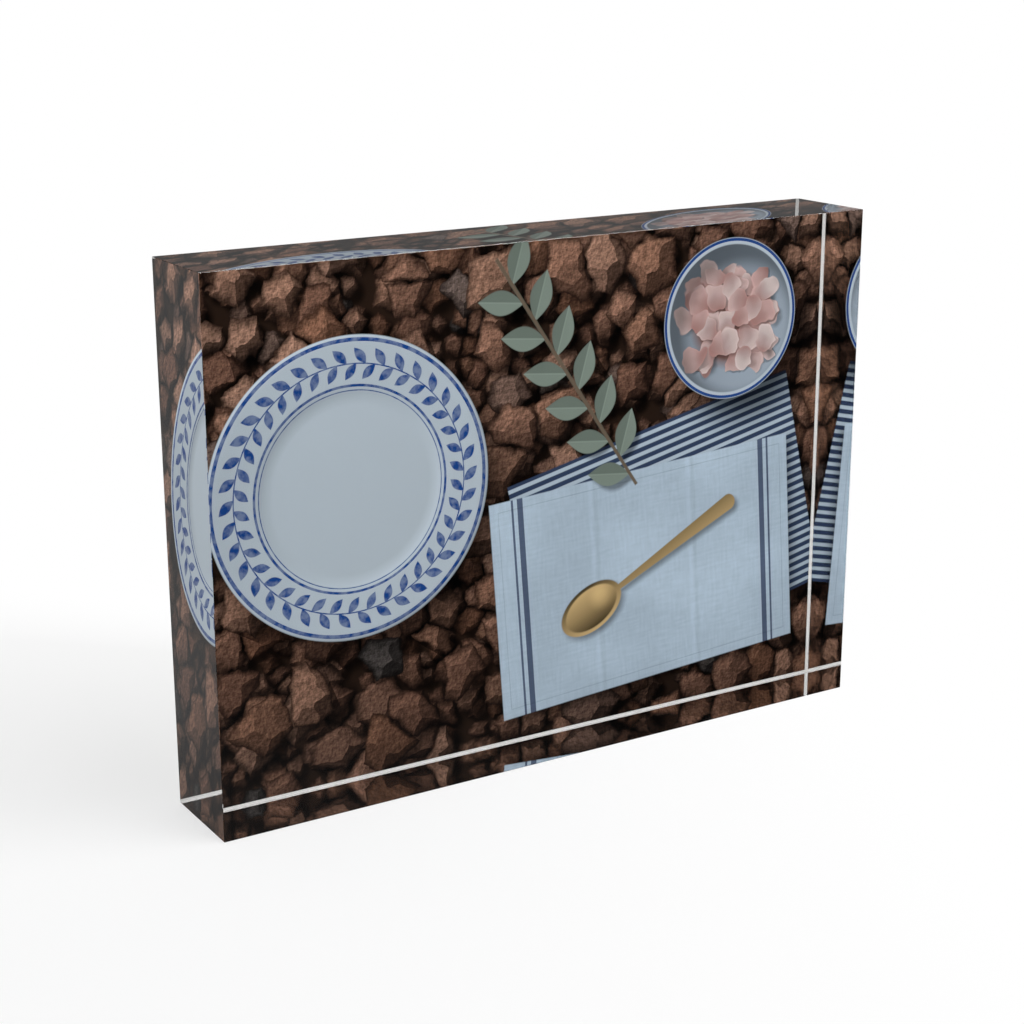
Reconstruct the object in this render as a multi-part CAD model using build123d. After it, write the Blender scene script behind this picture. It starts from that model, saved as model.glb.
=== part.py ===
"""Acrylic photo block: a thick clear block with a photo print bonded face-first to its back.

Millimetres, +Z up. The block stands on its long edge. The front face looks along -Y.
The origin is on the surface it stands on, at the middle of the whole block's footprint.
"""

import os

from build123d import *

# Clear block: a 7 by 5 inch print behind 1 inch cast sheet
BLOCK_WIDTH = 177.8
BLOCK_HEIGHT = 127.0
BLOCK_DEPTH = 25.4
EDGE_CHAMFER = 0.1  # fine flat polished onto the front edges and the four that run back from them
BACK_BEVEL = 0.55  # wider flat scraped round the back and left matt, so it shows white through the block

# Layers bonded behind the block, front to back
MOUNTING_FILM_THICKNESS = 0.05  # optically clear double-sided film
PRINT_THICKNESS = 0.2  # resin-coated photo paper
BACKING_ADHESIVE_THICKNESS = 0.1  # double-sided transfer adhesive
BACKING_PANEL_THICKNESS = 0.5  # white styrene sheet

# The film and the print fill the flat inside the bevel, the panel and its adhesive are a little smaller
PANEL_SETBACK = 0.45  # paper left bare round the backing panel
PANEL_EDGE_BREAK = 0.15  # small chamfer on the panel's rear edges

# Places along the depth, worked out from the layers
TOTAL_DEPTH = (
    BLOCK_DEPTH
    + MOUNTING_FILM_THICKNESS
    + PRINT_THICKNESS
    + BACKING_ADHESIVE_THICKNESS
    + BACKING_PANEL_THICKNESS
)
BLOCK_FRONT = -TOTAL_DEPTH / 2
FILM_FRONT = BLOCK_FRONT + BLOCK_DEPTH
PRINT_FRONT = FILM_FRONT + MOUNTING_FILM_THICKNESS
ADHESIVE_FRONT = PRINT_FRONT + PRINT_THICKNESS
PANEL_FRONT = ADHESIVE_FRONT + BACKING_ADHESIVE_THICKNESS
PANEL_INSET = BACK_BEVEL + PANEL_SETBACK


def upright_sheet(inset, thickness, front):
    """A flat sheet standing upright, inset from the block's outline on all four sides."""
    sheet = Box(BLOCK_WIDTH - 2 * inset, thickness, BLOCK_HEIGHT - 2 * inset)
    return Pos(0, front + thickness / 2, BLOCK_HEIGHT / 2) * sheet


def acrylic_block():
    """Cast acrylic with polished faces and a matt bevel round the back, cut before the print is bonded on."""
    blank = upright_sheet(0, BLOCK_DEPTH, BLOCK_FRONT)
    blank = chamfer(blank.faces().sort_by(Axis.Y)[-1].edges(), BACK_BEVEL)
    blank = chamfer(blank.edges().filter_by(Axis.Y), EDGE_CHAMFER)
    return chamfer(blank.faces().sort_by(Axis.Y)[0].edges(), EDGE_CHAMFER)


def mounting_film():
    """Clear film that wets the whole face of the print and the back of the block."""
    return upright_sheet(BACK_BEVEL, MOUNTING_FILM_THICKNESS, FILM_FRONT)


def photo_print():
    """The paper print, picture side against the film."""
    return upright_sheet(BACK_BEVEL, PRINT_THICKNESS, PRINT_FRONT)


def backing_adhesive():
    """Adhesive sheet that holds the backing panel to the paper."""
    return upright_sheet(PANEL_INSET, BACKING_ADHESIVE_THICKNESS, ADHESIVE_FRONT)


def backing_panel():
    """Thin white sheet that covers the back of the print, with its rear edges broken."""
    panel = upright_sheet(PANEL_INSET, BACKING_PANEL_THICKNESS, PANEL_FRONT)
    rear_edges = panel.faces().sort_by(Axis.Y)[-1].edges()
    return chamfer(rear_edges, PANEL_EDGE_BREAK)


PIECES = {
    "acrylic_block": acrylic_block,
    "mounting_film": mounting_film,
    "photo_print": photo_print,
    "backing_adhesive": backing_adhesive,
    "backing_panel": backing_panel,
}

os.makedirs("parts", exist_ok=True)
for name, make in PIECES.items():
    export_step(make(), f"parts/{name}.step")
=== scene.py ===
import math

import bpy
from mathutils import Matrix, Vector


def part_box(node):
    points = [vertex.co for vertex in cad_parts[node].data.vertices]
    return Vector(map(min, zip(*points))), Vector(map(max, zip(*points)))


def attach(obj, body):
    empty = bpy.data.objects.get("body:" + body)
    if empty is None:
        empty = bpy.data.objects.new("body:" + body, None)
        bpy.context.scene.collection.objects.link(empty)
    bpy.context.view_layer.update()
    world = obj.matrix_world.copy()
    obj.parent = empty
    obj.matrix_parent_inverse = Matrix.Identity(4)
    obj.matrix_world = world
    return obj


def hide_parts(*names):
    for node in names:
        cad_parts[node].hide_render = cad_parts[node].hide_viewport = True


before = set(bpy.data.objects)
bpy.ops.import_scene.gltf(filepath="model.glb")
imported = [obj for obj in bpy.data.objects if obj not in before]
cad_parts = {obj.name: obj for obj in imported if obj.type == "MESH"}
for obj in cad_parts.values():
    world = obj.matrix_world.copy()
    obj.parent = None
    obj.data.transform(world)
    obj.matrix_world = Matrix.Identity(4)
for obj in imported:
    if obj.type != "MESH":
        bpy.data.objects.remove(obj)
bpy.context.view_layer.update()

# Clear block
# A slab of thick cast acrylic, sawn to size and polished, with a matt bevel scraped round the back.
# The clear film on its back wets the print all over, so block and film are one clear body to the eye.
MM = 0.001
EDGE_CHAMFER = 0.1 * MM
BACK_BEVEL = 0.55 * MM
FILM_TRIM = 0.005 * MM  # how far inside the bevel the film ends
FILM_BITE = 0.02 * MM  # how far the clear body runs into the print, so that no air lies between them


def linear(code):
    """An sRGB hex colour as the linear values that a shader takes, with full alpha."""
    parts = [int(code[i:i + 2], 16) / 255 for i in (1, 3, 5)]
    return [c / 12.92 if c <= 0.04045 else ((c + 0.055) / 1.055) ** 2.4 for c in parts] + [1]


def node(tree, kind, *inputs, out=0, sockets=None, **settings):
    """Adds one shader node, sets its options, links or sets its inputs, and gives back one output."""
    made = tree.nodes.new("ShaderNode" + kind)
    for name, value in settings.items():
        setattr(made, name, value)
    for place, value in list(enumerate(inputs)) + list((sockets or {}).items()):
        if isinstance(value, bpy.types.NodeSocket):
            tree.links.new(value, made.inputs[place])
        elif value is not None:
            made.inputs[place].default_value = value
    return made.outputs[out]


block_low, block_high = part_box("acrylic_block")
print_low, print_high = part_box("photo_print")
bpy.ops.object.select_all(action="DESELECT")
bpy.ops.mesh.primitive_cube_add(size=1, location=(block_low + block_high) / 2)
block = bpy.context.object
block.name = "clear_block"
block.dimensions = block_high - block_low
bpy.ops.object.transform_apply(location=True, rotation=True, scale=True)

# the bevel runs round the back, the fine flats round the front and along the edges that go back from it
for at_back, width in ((True, BACK_BEVEL), (False, EDGE_CHAMFER)):
    bpy.ops.object.mode_set(mode="EDIT")
    bpy.ops.mesh.select_mode(type="EDGE")
    bpy.ops.mesh.select_all(action="DESELECT")
    bpy.ops.object.mode_set(mode="OBJECT")
    for edge in block.data.edges:
        near = min(block.data.vertices[i].co.y for i in edge.vertices)
        if at_back:
            edge.select = near > block_high.y - EDGE_CHAMFER
        else:
            edge.select = near < block_low.y + EDGE_CHAMFER
    bpy.ops.object.mode_set(mode="EDIT")
    bpy.ops.mesh.bevel(offset=width, segments=1, affect="EDGES")

# the film stands on the back face and ends just inside the paper
bpy.ops.mesh.select_mode(type="FACE")
bpy.ops.mesh.select_all(action="DESELECT")
bpy.ops.object.mode_set(mode="OBJECT")
for face in block.data.polygons:
    face.select = face.normal.y > 0.9
bpy.ops.object.mode_set(mode="EDIT")
bpy.ops.mesh.inset(thickness=FILM_TRIM, depth=0)
bpy.ops.mesh.extrude_region_move(
    TRANSFORM_OT_translate={"value": (0, print_low.y + FILM_BITE - block_high.y, 0)})
bpy.ops.object.mode_set(mode="OBJECT")

# Polished cast acrylic: water clear with sharp mirror reflections, so the print shows again in the sides.
# The index is a little under acrylic's 1.49, which puts those mirror images where the object has them.
acrylic = bpy.data.materials.new("polished_cast_acrylic")
acrylic.use_nodes = True
shader = acrylic.node_tree.nodes["Principled BSDF"]
shader.inputs["Base Color"].default_value = linear("#ffffff")
shader.inputs["Roughness"].default_value = 0.0
shader.inputs["IOR"].default_value = 1.47
shader.inputs["Transmission Weight"].default_value = 1.0
block.data.materials.append(acrylic)

# Scraped acrylic: fine scratches scatter the light, so the bevel is a white line seen through any face.
# They are drawn wider than real ones, so that they show.
SCRATCH_WIDTH = 0.4 * MM
scraped = bpy.data.materials.new("scraped_matt_acrylic")
scraped.use_nodes = True
tree = scraped.node_tree
shader = tree.nodes["Principled BSDF"]
where = node(tree, "TexCoord", out="Object")
scratch = node(tree, "TexNoise", where, None, 1 / SCRATCH_WIDTH, 3, 0.6)
matt = node(tree, "Mix", scratch, sockets={6: linear("#eeece8"), 7: linear("#fbfaf8")},
            out=2, data_type="RGBA")
tree.links.new(matt, shader.inputs["Base Color"])
tree.links.new(node(tree, "MapRange", scratch, 0.3, 0.7, 0.75, 0.95), shader.inputs["Roughness"])
shader.inputs["Specular IOR Level"].default_value = 0.0
block.data.materials.append(scraped)
for face in block.data.polygons:
    face.material_index = 1 if 0.2 < face.normal.y < 0.9 else 0
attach(block, "root")
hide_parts("acrylic_block", "mounting_film")

# Photo print
# Resin-coated photo paper, rolled picture side down onto the film and trimmed just inside the bevel.
# The picture fills the sheet: a still life laid out on broken brown stone.
PICTURE_LIGHT = Vector((-0.50, 0.52, 0.69))  # the way to the picture's soft light, above on the left
OUTLINE_BLUR = 0.3  # mm over which the outline of a thing in the picture is soft


def stone_layer(tree, spot, size, start):
    """A layer of broken stones, one near each point of a loose grid, cut to shape by flat breaks.

    Gives back the stone's height in mm, how squarely its break faces the light, and its random colour.
    """
    moved = node(tree, "VectorMath", spot, start, operation="ADD")
    ragged = node(tree, "TexNoise", moved, None, 2.2 / size, 3, out="Color", noise_dimensions="2D")
    ragged = node(tree, "VectorMath", ragged, (0.5, 0.5, 0.5), operation="SUBTRACT")
    moved = node(tree, "VectorMath", ragged, (0.24 * size,) * 3, moved, operation="MULTIPLY_ADD")
    chance = node(tree, "TexVoronoi", moved, None, 1 / size, voronoi_dimensions="2D", out="Color")
    middle = node(tree, "VectorMath", moved, chance.node.outputs["Position"], operation="SUBTRACT")
    split = node(tree, "SeparateColor", chance)
    turn = node(tree, "Math", split, math.tau, operation="MULTIPLY")
    across = node(tree, "VectorRotate", middle, sockets={"Angle": turn}, rotation_type="Z_AXIS")
    light = node(tree, "VectorRotate", PICTURE_LIGHT, sockets={"Angle": turn}, rotation_type="Z_AXIS")
    # its top leans a little
    top_slope = (0.22, -0.10, 0)
    top_faces = (-0.21, 0.10, 0.97)
    height = node(tree, "VectorMath", across, top_slope, operation="DOT_PRODUCT", out="Value")
    height = node(tree, "Math", height, 0.24 * size, operation="ADD")
    facing = node(tree, "VectorMath", light, top_faces, operation="DOT_PRODUCT", out="Value")
    # for each break: its way round, its slope, how far out it lies, how much that varies, by which chance
    for angle, slope, reach, spread, pick in (
            (10, 0.9, 0.34, 0.22, 1), (84, 1.5, 0.30, 0.24, 2), (150, 0.6, 0.40, 0.20, 1),
            (215, 1.2, 0.32, 0.22, 2), (290, 0.8, 0.36, 0.24, 1)):
        way = Vector((math.cos(math.radians(angle)), math.sin(math.radians(angle)), 0))
        edge = node(tree, "Math", split.node.outputs[pick], slope * spread * size, slope * reach * size,
                    operation="MULTIPLY_ADD")
        out = node(tree, "VectorMath", across, way * slope, operation="DOT_PRODUCT", out="Value")
        fall = node(tree, "Math", edge, out, operation="SUBTRACT")
        tilt = (way * slope + Vector((0, 0, 1))).normalized()
        lit = node(tree, "VectorMath", light, tilt, operation="DOT_PRODUCT", out="Value")
        lower = node(tree, "Math", fall, height, operation="LESS_THAN")
        facing = node(tree, "Mix", lower, None, facing, lit)
        height = node(tree, "Math", height, fall, operation="MINIMUM")
    gap = node(tree, "TexVoronoi", moved, None, 1 / size, voronoi_dimensions="2D",
               feature="DISTANCE_TO_EDGE")
    gap = node(tree, "Math", gap, 1.6 * size, -0.25, operation="MULTIPLY_ADD")
    height = node(tree, "Math", height, gap, operation="MINIMUM")
    return height, facing, split


def stone_colour(tree, height, facing, split, grain, level):
    """The colour of a stone: its own brown or grey, lit as its breaks face, darker at its foot."""
    own = node(tree, "ValToRGB", split)
    own.node.color_ramp.elements[0].color = linear("#a07660")
    own.node.color_ramp.elements[1].color = linear("#625f5d")
    for place, code in ((0.22, "#b38b76"), (0.42, "#8f6650"), (0.62, "#a87e69"),
                        (0.80, "#84604f"), (0.93, "#94705e")):
        own.node.color_ramp.elements.new(place).color = linear(code)
    lit = node(tree, "MapRange", facing, 0.1, 1.0, 0.16 * level, level)
    foot = node(tree, "MapRange", height, 0.0, 1.8, 0.18, 1.0, interpolation_type="SMOOTHSTEP")
    lit = node(tree, "Math", lit, foot, operation="MULTIPLY")
    lit = node(tree, "Math", lit, grain, operation="MULTIPLY")
    return node(tree, "VectorMath", own, sockets={"Scale": lit}, operation="SCALE")


def lay_down(tree, below, edge, shadow, blur, depth, colour):
    """The picture so far with a thing laid on it: first its shadow, darker by depth, then its own colour.

    Edge and shadow are mm past the outline of the thing and of its shadow, less than nothing inside.
    """
    dim = node(tree, "MapRange", shadow, -blur / 2, blur / 2, 1 - depth, 1.0,
               interpolation_type="SMOOTHSTEP")
    below = node(tree, "VectorMath", below, sockets={"Scale": dim}, operation="SCALE")
    cover = node(tree, "MapRange", edge, -OUTLINE_BLUR / 2, OUTLINE_BLUR / 2, 1.0, 0.0)
    return node(tree, "Mix", cover, sockets={6: below, 7: colour}, out=2, data_type="RGBA")


def own_place(tree, spot, centre, turn):
    """Millimetres along and across a thing that lies in the picture, from its middle."""
    turned = node(tree, "Mapping", spot, (*centre, 0), (0, 0, math.radians(turn)), vector_type="TEXTURE")
    split = node(tree, "SeparateXYZ", turned)
    return split, split.node.outputs["Y"]


def shadow_step(turn, reach):
    """How far a shadow falls along and across a thing that is turned in the picture."""
    return Matrix.Rotation(math.radians(-turn), 2) @ Vector((-PICTURE_LIGHT.x, -PICTURE_LIGHT.y)) * reach


def past_edge(tree, u, v, centre, half):
    """Millimetres past the edge of an oblong, less than nothing inside it."""
    u = node(tree, "Math", u, centre[0], operation="SUBTRACT")
    u = node(tree, "Math", u, operation="ABSOLUTE")
    u = node(tree, "Math", u, half[0], operation="SUBTRACT")
    v = node(tree, "Math", v, centre[1], operation="SUBTRACT")
    v = node(tree, "Math", v, operation="ABSOLUTE")
    v = node(tree, "Math", v, half[1], operation="SUBTRACT")
    return node(tree, "Math", u, v, operation="MAXIMUM")


def leaf_row(tree, u, v, pitch, length, width, reach):
    """Pointed leaves that stand in turn on both sides of a stem along u, out to reach mm from its middle.

    Gives back the mm past a leaf's edge, and how far across the leaf a point lies.
    """
    side = node(tree, "Math", v, 0.0, operation="GREATER_THAN")
    place = node(tree, "Math", side, pitch / 2, u, operation="MULTIPLY_ADD")
    ends = node(tree, "Math", place, operation="ABSOLUTE")
    ends = node(tree, "Math", ends, reach, operation="SUBTRACT")
    step = node(tree, "Math", place, pitch, operation="FLOORED_MODULO")
    step = node(tree, "Math", step, 0.11 * pitch, operation="SUBTRACT")
    out = node(tree, "Math", v, operation="ABSOLUTE")
    ray = node(tree, "CombineXYZ", step, out)
    lean = math.radians(50)
    along = node(tree, "VectorMath", ray, (math.cos(lean), math.sin(lean), 0),
                 operation="DOT_PRODUCT", out="Value")
    across = node(tree, "VectorMath", ray, (-math.sin(lean), math.cos(lean), 0),
                  operation="DOT_PRODUCT", out="Value")
    wide = node(tree, "Math", along, math.pi / length, operation="MULTIPLY")
    wide = node(tree, "Math", wide, operation="SINE")
    wide = node(tree, "Math", wide, width / 2, operation="MULTIPLY")
    off = node(tree, "Math", across, operation="ABSOLUTE")
    edge = node(tree, "Math", off, wide, operation="SUBTRACT")
    past = node(tree, "Math", along, length, operation="SUBTRACT")
    edge = node(tree, "Math", edge, past, operation="MAXIMUM")
    return node(tree, "Math", edge, ends, operation="MAXIMUM"), across


paper = bpy.data.materials.new("resin_coated_photo_paper")
paper.use_nodes = True
tree = paper.node_tree
shader = tree.nodes["Principled BSDF"]
where = node(tree, "TexCoord", out="Object")
where = node(tree, "VectorMath", where, sockets={"Scale": 1 / MM}, operation="SCALE")
xyz = node(tree, "SeparateXYZ", where)
spot = node(tree, "CombineXYZ", xyz, xyz.node.outputs["Z"])

# broken stone, four layers deep: fine chips, the ground, the stones on it, and a few on top
GRAINS_PER_MM = 0.7
rough = node(tree, "TexNoise", spot, None, GRAINS_PER_MM, 6, 0.7, noise_dimensions="2D")
shifted = node(tree, "VectorMath", spot, PICTURE_LIGHT * 0.5, operation="ADD")
rough_up = node(tree, "TexNoise", shifted, None, GRAINS_PER_MM, 6, 0.7, noise_dimensions="2D")
grain = node(tree, "Math", rough, rough_up, operation="SUBTRACT")
grain = node(tree, "Math", grain, 2.0, 1.0, operation="MULTIPLY_ADD")
blotch = node(tree, "MapRange", rough, 0.3, 0.7, 0.60, 1.42)
grain = node(tree, "Math", grain, blotch, operation="MULTIPLY")
# the light falls on the upper stones first
upper = node(tree, "MapRange", xyz.node.outputs["Z"], 0, block_high.z / MM, 0.92, 1.42)
grain = node(tree, "Math", grain, upper, operation="MULTIPLY")
picture = linear("#2c1f17")[:3]
STONE_FOOT = 0.15  # mm up, below which a stone is lost in its shadow
NOWHERE = 99  # mm past any edge, for a stone or a petal that is left out
# for each layer: the stones' size in mm, where their chances start, the share that is there, how light
for size, start, keep, level in ((6.0, (90, 160, 0), 1.0, 0.50), (9.0, (200, 0, 0), 1.0, 0.66),
                                 (12.0, (520, 75, 0), 0.85, 0.84), (16.0, (733, 310, 0), 0.48, 0.84)):
    toward = node(tree, "VectorMath", spot, Vector(start) + PICTURE_LIGHT * 3.0, operation="ADD")
    near = node(tree, "TexVoronoi", toward, None, 1 / size, voronoi_dimensions="2D")
    chance = node(tree, "SeparateColor", near.node.outputs["Color"])
    missing = node(tree, "Math", chance.node.outputs["Blue"], keep, operation="GREATER_THAN")
    near = node(tree, "Math", near, size, -0.46 * size, operation="MULTIPLY_ADD")
    shadow = node(tree, "Math", missing, NOWHERE, near, operation="MULTIPLY_ADD")
    height, facing, split = stone_layer(tree, spot, size, start)
    missing = node(tree, "Math", split.node.outputs["Blue"], keep, operation="GREATER_THAN")
    edge = node(tree, "Math", STONE_FOOT, height, operation="SUBTRACT")
    edge = node(tree, "Math", missing, NOWHERE, edge, operation="MULTIPLY_ADD")
    stone = stone_colour(tree, height, facing, split, grain, level)
    picture = lay_down(tree, picture, edge, shadow, blur=0.32 * size, depth=0.75, colour=stone)

# glazed plate, with a traditional leaf garland painted in blue round its rim
PLATE_AT = Vector((-47, 71, 0))
PLATE_RADIUS = 36
GARLAND_RADIUS = 29.4
GARLAND_LEAVES, GARLAND_PITCH = 38, 4.8
around = node(tree, "VectorMath", spot, PLATE_AT, operation="SUBTRACT")
reach = node(tree, "VectorMath", around, operation="LENGTH", out="Value")
under = node(tree, "VectorMath", spot, PLATE_AT + shadow_step(turn=0, reach=7).to_3d(),
             operation="DISTANCE", out="Value")
under = node(tree, "Math", under, PLATE_RADIUS + 1, operation="SUBTRACT")
outward = node(tree, "VectorMath", around, operation="NORMALIZE")
toward = node(tree, "VectorMath", outward, PICTURE_LIGHT, operation="DOT_PRODUCT", out="Value")
# how the plate tips towards its middle or its rim, along 40 mm out from its middle; a half is level
slope = node(tree, "ValToRGB", node(tree, "Math", reach, 1 / 40, operation="MULTIPLY"))
stops = slope.node.color_ramp.elements
stops[0].position, stops[0].color = 0.0, (0.5, 0.5, 0.5, 1)
stops[1].position, stops[1].color = 1.0, (1.0, 1.0, 1.0, 1)
for place, level in ((0.50, 0.5), (0.57, 0.10), (0.63, 0.40), (0.84, 0.40), (0.87, 0.5), (0.90, 1.0)):
    stops.new(place).color = (level, level, level, 1)
lit = node(tree, "Math", slope, 0.5, operation="SUBTRACT")
lit = node(tree, "Math", lit, toward, operation="MULTIPLY")
lit = node(tree, "Math", lit, 0.9, 0.96, operation="MULTIPLY_ADD")
angle = node(tree, "SeparateXYZ", around)
angle = node(tree, "Math", angle.node.outputs["Y"], angle, operation="ARCTAN2")
along = node(tree, "Math", angle, GARLAND_LEAVES * GARLAND_PITCH / math.tau, operation="MULTIPLY")
aside = node(tree, "Math", reach, GARLAND_RADIUS, operation="SUBTRACT")
edge, across = leaf_row(tree, along, aside, GARLAND_PITCH, length=4.7, width=2.2,
                        reach=math.tau * PLATE_RADIUS)
blue = node(tree, "MapRange", edge, -0.08, 0.08, 1.0, 0.0)
# the garland's stem, then the painted rings
for middle, half in ((GARLAND_RADIUS, 0.16), (34.9, 0.45), (24.4, 0.30), (23.3, 0.12)):
    ring = node(tree, "Math", reach, middle, half, operation="COMPARE")
    blue = node(tree, "Math", blue, ring, operation="MAXIMUM")
brush = node(tree, "TexNoise", spot, None, 0.5, 3, noise_dimensions="2D")
brush = node(tree, "MapRange", brush, 0.35, 0.65, 0.68, 1.0)
blue = node(tree, "Math", blue, brush, operation="MULTIPLY")
glaze = node(tree, "Mix", blue, sockets={6: linear("#d4e2ed"), 7: linear("#244f9c")},
             out=2, data_type="RGBA")
glaze = node(tree, "VectorMath", glaze, sockets={"Scale": lit}, operation="SCALE")
edge = node(tree, "Math", reach, PLATE_RADIUS, operation="SUBTRACT")
picture = lay_down(tree, picture, edge, under, blur=12, depth=0.8, colour=glaze)

# navy ticking cloth under the linen
TICKING_AT, TICKING_TURN = (43, 46), 13
TICKING_HALF = (43, 30)
STRIPE_WIDTH = 1.1
u, v = own_place(tree, spot, TICKING_AT, TICKING_TURN)
edge = past_edge(tree, u, v, (0, 0), TICKING_HALF)
shadow = past_edge(tree, u, v, shadow_step(TICKING_TURN, reach=3.0), TICKING_HALF)
stripe = node(tree, "Math", v, STRIPE_WIDTH, operation="PINGPONG")
stripe = node(tree, "MapRange", stripe, 0.40, 0.60, 0.0, 1.0)
ticking = node(tree, "Mix", stripe, sockets={6: linear("#cddfee"), 7: linear("#3c4b69")},
               out=2, data_type="RGBA")
picture = lay_down(tree, picture, edge, shadow, blur=5.0, depth=0.75, colour=ticking)

# pale blue linen, folded in three, hemmed, with navy stripes woven in near its ends
LINEN_AT, LINEN_TURN = (36, 37), 4
LINEN_HALF = (45, 28)
THREADS_PER_MM = 1.4  # coarser than real ones, so that they show
u, v = own_place(tree, spot, LINEN_AT, LINEN_TURN)
edge = past_edge(tree, u, v, (0, 0), LINEN_HALF)
shadow = past_edge(tree, u, v, shadow_step(LINEN_TURN, reach=3.2), LINEN_HALF)
drape = node(tree, "TexNoise", spot, None, 0.045, 1, noise_dimensions="2D")
drape = node(tree, "MapRange", drape, 0.3, 0.7, 0.90, 1.04)
weft = node(tree, "CombineXYZ", node(tree, "Math", u, 0.12, operation="MULTIPLY"), v)
weft = node(tree, "TexNoise", weft, None, THREADS_PER_MM, 2, noise_dimensions="2D")
warp = node(tree, "CombineXYZ", u, node(tree, "Math", v, 0.12, operation="MULTIPLY"))
warp = node(tree, "TexNoise", warp, None, THREADS_PER_MM, 2, noise_dimensions="2D")
slub = node(tree, "Math", weft, warp, operation="ADD")
slub = node(tree, "MapRange", slub, 0.6, 1.4, 0.93, 1.07)
lit = node(tree, "Math", drape, slub, operation="MULTIPLY")
for fold in (-15.5, 14.0):
    bend = node(tree, "MapRange", u, fold - 1.5, fold + 1.5, -1.0, 1.0)
    left = node(tree, "Math", bend, operation="ABSOLUTE")
    left = node(tree, "Math", 1.0, left, operation="SUBTRACT")
    bend = node(tree, "Math", bend, left, operation="MULTIPLY")
    lit = node(tree, "Math", bend, -0.28, lit, operation="MULTIPLY_ADD")
hem = node(tree, "Math", edge, -2.4, 0.14, operation="COMPARE")
lit = node(tree, "Math", hem, -0.16, lit, operation="MULTIPLY_ADD")
stripe = node(tree, "Math", u, operation="ABSOLUTE")
wide_stripe = node(tree, "Math", stripe, 36.4, 0.8, operation="COMPARE")
thin_stripe = node(tree, "Math", stripe, 38.6, 0.3, operation="COMPARE")
stripe = node(tree, "Math", wide_stripe, thin_stripe, operation="MAXIMUM")
stripe = node(tree, "Math", stripe, 0.85, operation="MULTIPLY")
linen = node(tree, "Mix", stripe, sockets={6: linear("#d2e7f9"), 7: linear("#34436a")},
             out=2, data_type="RGBA")
linen = node(tree, "VectorMath", linen, sockets={"Scale": lit}, operation="SCALE")
picture = lay_down(tree, picture, edge, shadow, blur=5.5, depth=0.68, colour=linen)

# brass spoon on the linen
SPOON_AT, SPOON_TURN = (33, 38), 27
SPOON_BOWL_AT, SPOON_BOWL_LENGTH, SPOON_BOWL_WIDTH = -16, 19, 12
HANDLE_AT, HANDLE_LENGTH = 12, 38
GLEAM_AT = (21.5, 33.5, 0)
u, v = own_place(tree, spot, SPOON_AT, SPOON_TURN)
step = shadow_step(SPOON_TURN, reach=2.0)
spoon = []
for du, dv in ((step.x, step.y), (0, 0)):
    bowl_u = node(tree, "Math", u, SPOON_BOWL_AT + du, operation="SUBTRACT")
    bowl_u = node(tree, "Math", bowl_u, 2 / SPOON_BOWL_LENGTH, operation="MULTIPLY")
    bowl_v = node(tree, "Math", v, dv, operation="SUBTRACT")
    bowl_v = node(tree, "Math", bowl_v, 2 / SPOON_BOWL_WIDTH, operation="MULTIPLY")
    egg = node(tree, "CombineXYZ", bowl_u, bowl_v)
    egg = node(tree, "VectorMath", egg, operation="LENGTH", out="Value")
    egg = node(tree, "Math", egg, SPOON_BOWL_WIDTH / 2, -SPOON_BOWL_WIDTH / 2, operation="MULTIPLY_ADD")
    end = node(tree, "Math", u, HANDLE_AT + du, operation="SUBTRACT")
    end = node(tree, "Math", end, operation="ABSOLUTE")
    end = node(tree, "Math", end, HANDLE_LENGTH / 2, operation="SUBTRACT")
    end = node(tree, "Math", end, 0.0, operation="MAXIMUM")
    off = node(tree, "Math", v, dv, operation="SUBTRACT")
    handle = node(tree, "CombineXYZ", end, off)
    handle = node(tree, "VectorMath", handle, operation="LENGTH", out="Value")
    flare = node(tree, "MapRange", u, -6, 32, 0.8, 2.2)
    handle = node(tree, "Math", handle, flare, operation="SUBTRACT")
    spoon.append(node(tree, "Math", egg, handle, operation="MINIMUM"))
lit = node(tree, "Math", v, -0.12, 0.85, operation="MULTIPLY_ADD")
hollow = node(tree, "MapRange", egg, -1.1, -0.7, 0.26, 0.0)
hollow = node(tree, "Math", hollow, v, operation="MULTIPLY")
lit = node(tree, "Math", lit, hollow, operation="ADD")
gleam = node(tree, "VectorMath", spot, GLEAM_AT, operation="DISTANCE", out="Value")
gleam = node(tree, "MapRange", gleam, 0.5, 4.5, 0.55, 0.0, interpolation_type="SMOOTHSTEP")
lit = node(tree, "Math", lit, gleam, operation="ADD")
brass = node(tree, "VectorMath", linear("#c8ab78")[:3], sockets={"Scale": lit}, operation="SCALE")
picture = lay_down(tree, picture, spoon[1], spoon[0], blur=2.2, depth=0.6, colour=brass)

# grey-green sprig, between the plate and the bowl
SPRIG_AT, SPRIG_TURN = (9, 95), 124
SPRIG_LEAVES = (11.0, 12.5, 6.0, 33)  # their pitch, length and width, and their reach along the stem
u, v = own_place(tree, spot, SPRIG_AT, SPRIG_TURN)
step = shadow_step(SPRIG_TURN, reach=2.6)
low_u = node(tree, "Math", u, step.x, operation="SUBTRACT")
low_v = node(tree, "Math", v, step.y, operation="SUBTRACT")
shadow, across = leaf_row(tree, low_u, low_v, *SPRIG_LEAVES)
edge, across = leaf_row(tree, u, v, *SPRIG_LEAVES)
stem = past_edge(tree, u, v, centre=(-5, 0), half=(36, 0.45))
tone_and_shade = node(tree, "MapRange", across, -0.4, 0.4, 0.70, 1.0)
rib = node(tree, "Math", across, 0.0, 0.2, operation="COMPARE")
tone_and_shade = node(tree, "Math", rib, 0.25, tone_and_shade, operation="MULTIPLY_ADD")
leaf = node(tree, "VectorMath", linear("#93a296")[:3], sockets={"Scale": tone_and_shade}, operation="SCALE")
bark = node(tree, "Math", stem, 0.0, operation="LESS_THAN")
leaf = node(tree, "Mix", bark, sockets={6: leaf, 7: linear("#7c6d5c")}, out=2, data_type="RGBA")
edge = node(tree, "Math", edge, stem, operation="MINIMUM")
picture = lay_down(tree, picture, edge, shadow, blur=1.8, depth=0.65, colour=leaf)

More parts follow.
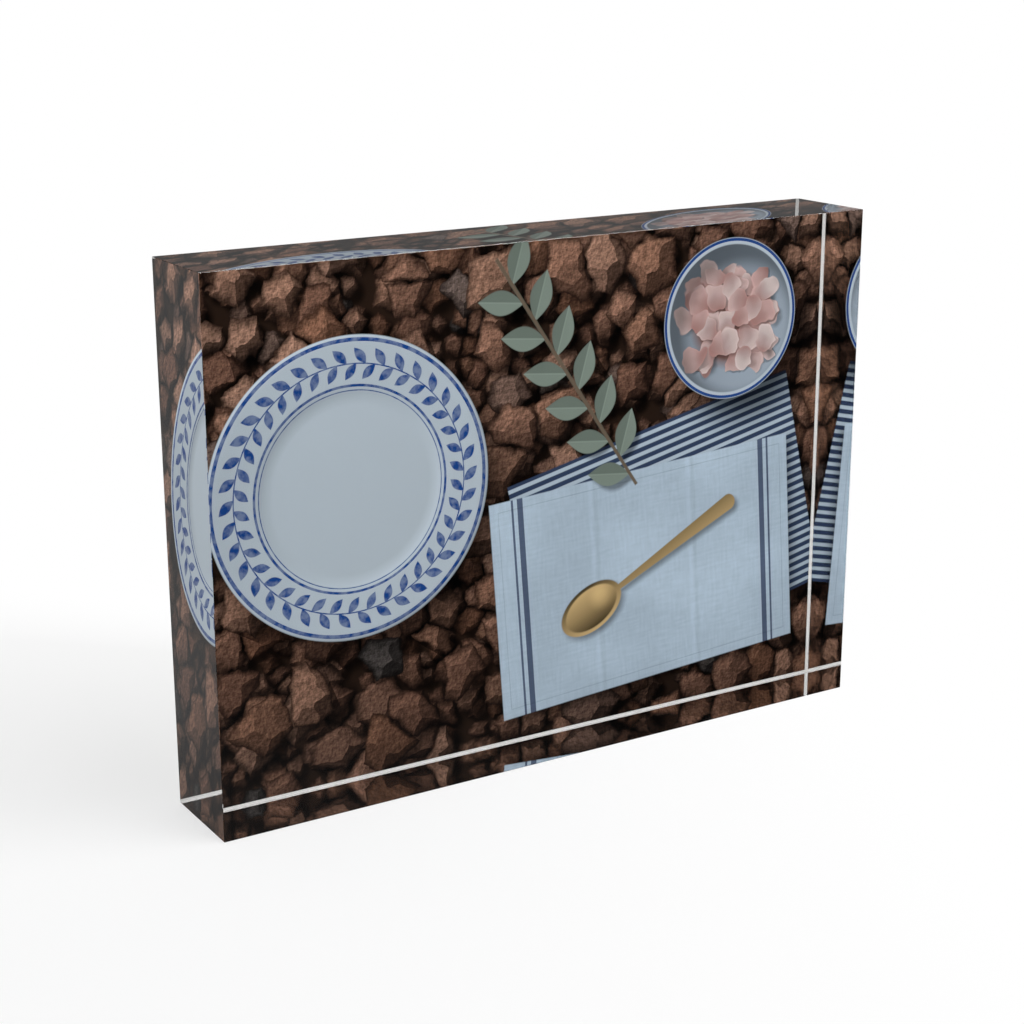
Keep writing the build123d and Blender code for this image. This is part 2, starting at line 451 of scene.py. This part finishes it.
# small glazed bowl of petals
BOWL_AT = Vector((60, 100, 0))
BOWL_RADIUS = 20.4
PETAL_PITCH, PETAL_RADIUS, PETAL_SHADOW_RADIUS = 6.5, 3.5, 3.1
PETAL_WAVE = 3.0  # how far their outlines wander
PETALS_REACH = 14.4  # how far from the middle of the bowl their own middles lie
around = node(tree, "VectorMath", spot, BOWL_AT, operation="SUBTRACT")
reach = node(tree, "VectorMath", around, operation="LENGTH", out="Value")
under = node(tree, "VectorMath", spot, BOWL_AT + shadow_step(turn=0, reach=8).to_3d(),
             operation="DISTANCE", out="Value")
under = node(tree, "Math", under, BOWL_RADIUS + 1.6, operation="SUBTRACT")
outward = node(tree, "VectorMath", around, operation="NORMALIZE")
toward = node(tree, "VectorMath", outward, PICTURE_LIGHT, operation="DOT_PRODUCT", out="Value")
wavy = node(tree, "TexNoise", spot, None, 0.25, 1, out="Color", noise_dimensions="2D")
wavy = node(tree, "VectorMath", wavy, (PETAL_WAVE,) * 3, spot, operation="MULTIPLY_ADD")
wall = node(tree, "Math", toward, -0.25, 0.72, operation="MULTIPLY_ADD")
wall = node(tree, "VectorMath", linear("#bccbda")[:3], sockets={"Scale": wall}, operation="SCALE")
inside = node(tree, "MapRange", reach, 10.0, 13.0, 0.0, 1.0)
inside = node(tree, "Mix", inside, sockets={6: linear("#8d6a63"), 7: wall}, out=2, data_type="RGBA")
for start in ((20, 310, 0), (130, 80, 0), (240, 190, 0)):
    moved = node(tree, "VectorMath", wavy, start, operation="ADD")
    chance = node(tree, "TexVoronoi", moved, None, 1 / PETAL_PITCH, voronoi_dimensions="2D", out="Color")
    hue = node(tree, "SeparateColor", chance)
    # each lies its own way round, narrow and deep pink at its foot, broad and pale at its tip
    inward = node(tree, "VectorMath", moved, chance.node.outputs["Position"], operation="SUBTRACT")
    turn = node(tree, "Math", hue.node.outputs["Green"], math.tau, operation="MULTIPLY")
    inward = node(tree, "VectorRotate", inward, sockets={"Angle": turn}, rotation_type="Z_AXIS")
    tip = node(tree, "SeparateXYZ", inward)
    taper = node(tree, "MapRange", tip, -PETAL_RADIUS, PETAL_RADIUS, 1.55, 0.80)
    aside = node(tree, "Math", tip.node.outputs["Y"], taper, operation="MULTIPLY")
    oval = node(tree, "CombineXYZ", tip, aside)
    oval = node(tree, "VectorMath", oval, operation="LENGTH", out="Value")
    edge = node(tree, "Math", oval, PETAL_RADIUS, operation="SUBTRACT")
    # those that would stand on the wall are left out
    heap = BOWL_AT + Vector(start) + Vector((PETAL_WAVE / 2, PETAL_WAVE / 2, 0))
    far = node(tree, "VectorMath", chance.node.outputs["Position"], heap,
               operation="DISTANCE", out="Value")
    missing = node(tree, "Math", far, PETALS_REACH, operation="GREATER_THAN")
    edge = node(tree, "Math", missing, NOWHERE, edge, operation="MULTIPLY_ADD")
    shifted = node(tree, "VectorMath", moved, PICTURE_LIGHT * 1.2, operation="ADD")
    shadow = node(tree, "TexVoronoi", shifted, None, 1 / PETAL_PITCH, voronoi_dimensions="2D")
    far = node(tree, "VectorMath", shadow.node.outputs["Position"], heap,
               operation="DISTANCE", out="Value")
    missing = node(tree, "Math", far, PETALS_REACH, operation="GREATER_THAN")
    shadow = node(tree, "Math", shadow, PETAL_PITCH, -PETAL_SHADOW_RADIUS, operation="MULTIPLY_ADD")
    shadow = node(tree, "Math", missing, NOWHERE, shadow, operation="MULTIPLY_ADD")
    cup = node(tree, "MapRange", edge, -3.0, -0.3, 0.80, 0.94)
    curl = node(tree, "MapRange", edge, -0.7, -0.2, 0.0, 0.10)
    cup = node(tree, "Math", cup, curl, operation="ADD")
    cup = node(tree, "Math", tip, 0.03, cup, operation="MULTIPLY_ADD")
    petal = node(tree, "Mix", hue, sockets={6: linear("#f1dfdb"), 7: linear("#dcb4ae")},
                 out=2, data_type="RGBA")
    foot = node(tree, "MapRange", tip, -3.2, 1.2, 0.75, 0.0)
    petal = node(tree, "Mix", foot, sockets={6: petal, 7: linear("#bd847d")}, out=2, data_type="RGBA")
    petal = node(tree, "VectorMath", petal, sockets={"Scale": cup}, operation="SCALE")
    inside = lay_down(tree, inside, edge, shadow, blur=1.8, depth=0.45, colour=petal)
deep = node(tree, "VectorMath", spot, BOWL_AT + shadow_step(turn=0, reach=5).to_3d(),
            operation="DISTANCE", out="Value")
deep = node(tree, "MapRange", deep, 14.0, 19.0, 1.0, 0.45, interpolation_type="SMOOTHSTEP")
inside = node(tree, "VectorMath", inside, sockets={"Scale": deep}, operation="SCALE")
rim = node(tree, "MapRange", reach, 18.6, 18.9, 0.0, 1.0)
bowl = node(tree, "Mix", rim, sockets={6: inside, 7: linear("#d4e1ec")}, out=2, data_type="RGBA")
ring = node(tree, "Math", reach, 19.9, 0.35, operation="COMPARE")
bowl = node(tree, "Mix", ring, sockets={6: bowl, 7: linear("#2d529a")}, out=2, data_type="RGBA")
edge = node(tree, "Math", reach, BOWL_RADIUS, operation="SUBTRACT")
picture = lay_down(tree, picture, edge, under, blur=12, depth=0.85, colour=bowl)

# the whole picture is printed darker, to go with the strong light into the block, and darker still
# towards the foot: painted shade, standing in for light that comes mostly from above
dim_and_painted_foot_shade = node(tree, "MapRange", xyz.node.outputs["Z"], 0, block_high.z / MM, 0.55, 0.705)
picture = node(tree, "VectorMath", picture, sockets={"Scale": dim_and_painted_foot_shade}, operation="SCALE")

# the sheet's edges and back are bare paper
bare = node(tree, "Math", xyz.node.outputs["Y"], print_low.y / MM + 0.02, operation="GREATER_THAN")
picture = node(tree, "Mix", bare, sockets={6: picture, 7: linear("#fbf9f4")}, out=2, data_type="RGBA")

tree.links.new(picture, shader.inputs["Base Color"])
shader.inputs["Roughness"].default_value = 0.6
shader.inputs["Specular IOR Level"].default_value = 0.0
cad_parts["photo_print"].data.materials.clear()
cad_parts["photo_print"].data.materials.append(paper)

# Backing adhesive
# A double-sided transfer tape as large as the panel, peeled off its liner and rolled down.
# Only its edge shows, as a thin milky line between the paper and the panel.
tape = bpy.data.materials.new("acrylic_transfer_adhesive")
tape.use_nodes = True
tree = tape.node_tree
shader = tree.nodes["Principled BSDF"]
where = node(tree, "TexCoord", out="Object")
# the squeezed edge is uneven over a millimetre or so
uneven = node(tree, "TexNoise", where, None, 0.8 / MM, 3, 0.6)
milky = node(tree, "Mix", uneven, sockets={6: linear("#d9d6cc"), 7: linear("#e9e7e0")},
             out=2, data_type="RGBA")
tree.links.new(milky, shader.inputs["Base Color"])
tree.links.new(node(tree, "MapRange", uneven, 0.3, 0.7, 0.25, 0.45), shader.inputs["Roughness"])
shader.inputs["IOR"].default_value = 1.47
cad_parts["backing_adhesive"].data.materials.clear()
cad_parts["backing_adhesive"].data.materials.append(tape)

# Backing panel
# White high-impact styrene sheet, guillotined a little smaller than the print, its rear edges scraped.
# It is pressed onto the adhesive and covers the paper. Its rolled face has a fine haircell grain.
styrene = bpy.data.materials.new("haircell_white_styrene")
styrene.use_nodes = True
tree = styrene.node_tree
shader = tree.nodes["Principled BSDF"]
where = node(tree, "TexCoord", out="Object")
# haircell is a net of short wrinkles about 0.9 mm apart, pressed in by an engraved roller
drift = node(tree, "TexNoise", where, None, 0.5 / MM, 2, out="Color")
drift = node(tree, "VectorMath", drift, (0.8 * MM,) * 3, where, operation="MULTIPLY_ADD")
wrinkle = node(tree, "TexVoronoi", drift, None, 1 / (0.9 * MM), feature="DISTANCE_TO_EDGE")
wrinkle = node(tree, "MapRange", wrinkle, 0.0, 0.22, 0.0, 1.0, interpolation_type="SMOOTHSTEP")
cloud = node(tree, "TexNoise", where, None, 0.02 / MM, 2)
# the wrinkles' grooves are also printed darker in colour, painted shade on top of the bump; the cloud is
# the sheet's own uneven tone
tone_and_shade = node(tree, "MapRange", wrinkle, 0.0, 1.0, 0.35, 0.0)
tone_and_shade = node(tree, "Math", cloud, 0.3, tone_and_shade, operation="MULTIPLY_ADD")
sheet = node(tree, "Mix", tone_and_shade, sockets={6: linear("#eeeeea"), 7: linear("#dcdcd6")},
             out=2, data_type="RGBA")
tree.links.new(sheet, shader.inputs["Base Color"])
tree.links.new(node(tree, "MapRange", wrinkle, 0.0, 1.0, 0.62, 0.48), shader.inputs["Roughness"])
grain = node(tree, "Bump", 0.35, 0.06 * MM, sockets={"Height": wrinkle})
tree.links.new(grain, shader.inputs["Normal"])
shader.inputs["IOR"].default_value = 1.55
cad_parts["backing_panel"].data.materials.clear()
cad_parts["backing_panel"].data.materials.append(styrene)

# Floor
# A white paper sweep. It is a hair below the block, as a real floor touches only here and there,
# so that air stays under the block and its bottom face mirrors the print.
FLOOR_DROP = 0.15 * MM
LIGHT_IN_BLOCK = 1.7  # light through the acrylic, at which the print's colours show as written
bpy.ops.object.select_all(action="DESELECT")
bpy.ops.mesh.primitive_plane_add(size=30, location=(0, 0, -FLOOR_DROP))
floor = bpy.context.object
floor.name = "floor"
bpy.ops.object.transform_apply(location=True, rotation=True, scale=True)
# the sweep's material mixes white paper with a glow that is painted light, for no lamp is in it
sweep = bpy.data.materials.new("white_sweep_with_painted_glow")
sweep.use_nodes = True
tree = sweep.node_tree
tree.nodes.remove(tree.nodes["Principled BSDF"])
path = node(tree, "LightPath").node
mirrored = node(tree, "Math", path.outputs["Is Glossy Ray"], path.outputs["Is Transmission Ray"],
                operation="SUBTRACT", use_clamp=True)
where = node(tree, "TexCoord", out="Object")
# mirrored in the block the floor glows at a painted level, dark towards the front right as if the studio
# were unlit there; through the block it glows as bright as the light into the block
side = node(tree, "VectorMath", where, (-1, 1, 0), operation="DOT_PRODUCT", out="Value")
painted_mirror_level = node(tree, "MapRange", side, -0.10, 0.25, 0.02, 0.36, interpolation_type="SMOOTHSTEP")
level = node(tree, "Mix", path.outputs["Is Transmission Ray"], None, 1.0, LIGHT_IN_BLOCK)
level = node(tree, "Mix", mirrored, None, level, painted_mirror_level)
glow = node(tree, "Emission", linear("#ffffff"), level)
# the camera sees paper that takes the block's shadow, under a painted white glow that grows to the right
# and the back until the paper is plain white
right = node(tree, "VectorMath", where, (1, -0.45, 0), operation="DOT_PRODUCT", out="Value")
painted_glow_share = node(tree, "MapRange", right, -0.15, 0.09, 0.43, 1.0)
back = node(tree, "VectorMath", where, (1, 0.8, 0), operation="DOT_PRODUCT", out="Value")
back = node(tree, "MapRange", back, -0.02, 0.08, 0.0, 1.0, interpolation_type="SMOOTHSTEP")
painted_glow_share = node(tree, "Math", painted_glow_share, back, operation="MAXIMUM")
lift = node(tree, "Math", path.outputs["Is Camera Ray"], painted_glow_share, operation="MULTIPLY")
lift = node(tree, "Math", lift, path.outputs["Is Transmission Ray"], operation="MAXIMUM")
lift = node(tree, "Math", lift, mirrored, operation="MAXIMUM")
matt = node(tree, "BsdfDiffuse", linear("#f0f0f0"))
mixed = node(tree, "MixShader", lift, matt, glow)
tree.links.new(mixed, tree.nodes["Material Output"].inputs["Surface"])
floor.data.materials.append(sweep)

# Studio
# One large softbox up on the front right, in a room of plain white light.
# Mirrored in the polished faces, the room is dim and the softbox bright; into the block it shines evenly.
SOFTBOX_WAY = Vector((0.36, -0.47, 0.81)).normalized()
# how nearly a ray points to its middle where its light starts, and where it is full
SOFTBOX_STARTS, SOFTBOX_FULL = math.cos(math.radians(28)), math.cos(math.radians(18))
world = bpy.data.worlds.new("studio")
bpy.context.scene.world = world
world.use_nodes = True
tree = world.node_tree
sky = tree.nodes["Background"]
path = node(tree, "LightPath").node
way = node(tree, "TexCoord", out="Generated")
toward = node(tree, "VectorMath", way, SOFTBOX_WAY, operation="DOT_PRODUCT", out="Value")
softbox = node(tree, "MapRange", toward, SOFTBOX_STARTS, SOFTBOX_FULL, 0.0, 1.0,
               interpolation_type="SMOOTHSTEP")
room = node(tree, "Math", softbox, 3.2, 0.65, operation="MULTIPLY_ADD")
mirrored_room = node(tree, "Math", softbox, 10.0, 0.145, operation="MULTIPLY_ADD")
level = node(tree, "Mix", path.outputs["Is Glossy Ray"], None, room, mirrored_room)
level = node(tree, "Mix", path.outputs["Is Transmission Ray"], None, level, LIGHT_IN_BLOCK)
level = node(tree, "Mix", path.outputs["Is Camera Ray"], None, level, 1.0)
sky.inputs["Color"].default_value = linear("#ffffff")
tree.links.new(level, sky.inputs["Strength"])

# Camera
# It stands where the outline and the print's mirror images fall as they do on the object.
CAMERA_AT = Vector((-247.158, -389.301, 194.389)) * MM
CAMERA_AZIMUTH, CAMERA_ELEVATION, CAMERA_ROLL = -31.802, 16.339, -0.074
bpy.ops.object.camera_add()
camera = bpy.context.object
camera.name = "camera"
camera.data.lens = 70.141
camera.data.clip_start = 0.01
camera.data.clip_end = 100
camera.matrix_world = (Matrix.Translation(CAMERA_AT)
                       @ Matrix.Rotation(math.radians(CAMERA_AZIMUTH), 4, "Z")
                       @ Matrix.Rotation(math.radians(90 - CAMERA_ELEVATION), 4, "X")
                       @ Matrix.Rotation(math.radians(CAMERA_ROLL), 4, "Z"))
bpy.context.scene.camera = camera
bpy.context.scene.view_settings.view_transform = "Standard"
